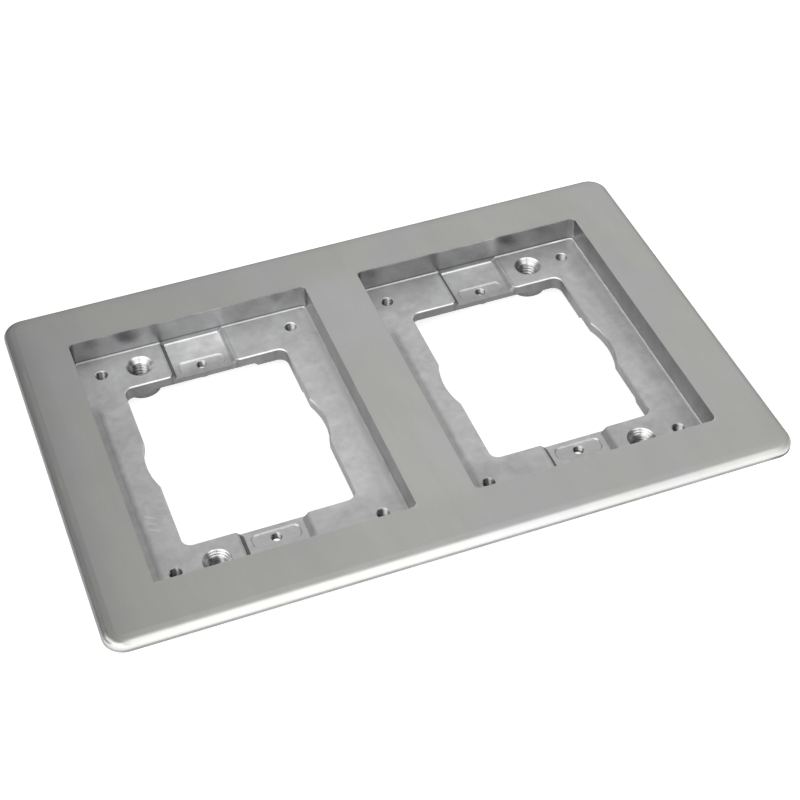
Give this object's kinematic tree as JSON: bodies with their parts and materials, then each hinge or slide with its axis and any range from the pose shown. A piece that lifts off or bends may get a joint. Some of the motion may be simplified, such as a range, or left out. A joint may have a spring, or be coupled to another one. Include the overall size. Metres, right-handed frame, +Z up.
{
  "type": "two-gang floor box cover plate",
  "caption": "Rectangular cast aluminium cover plate with a rounded rim and sunk pockets, each with a ledge, a through opening and threaded holes.",
  "frame": {"origin": "bottom centre of the bounding box, on the plane of the levelling bosses' feet", "axes": "+X along the plate's length, +Y across it, +Z up out of the finished top face"},
  "size_m": [0.2264, 0.1492, 0.0185],
  "materials": {
    "cast_aluminium": "satin"
  },
  "bodies": {
    "root": {"cover_plate": "cast_aluminium"}
  },
  "joints": []
}
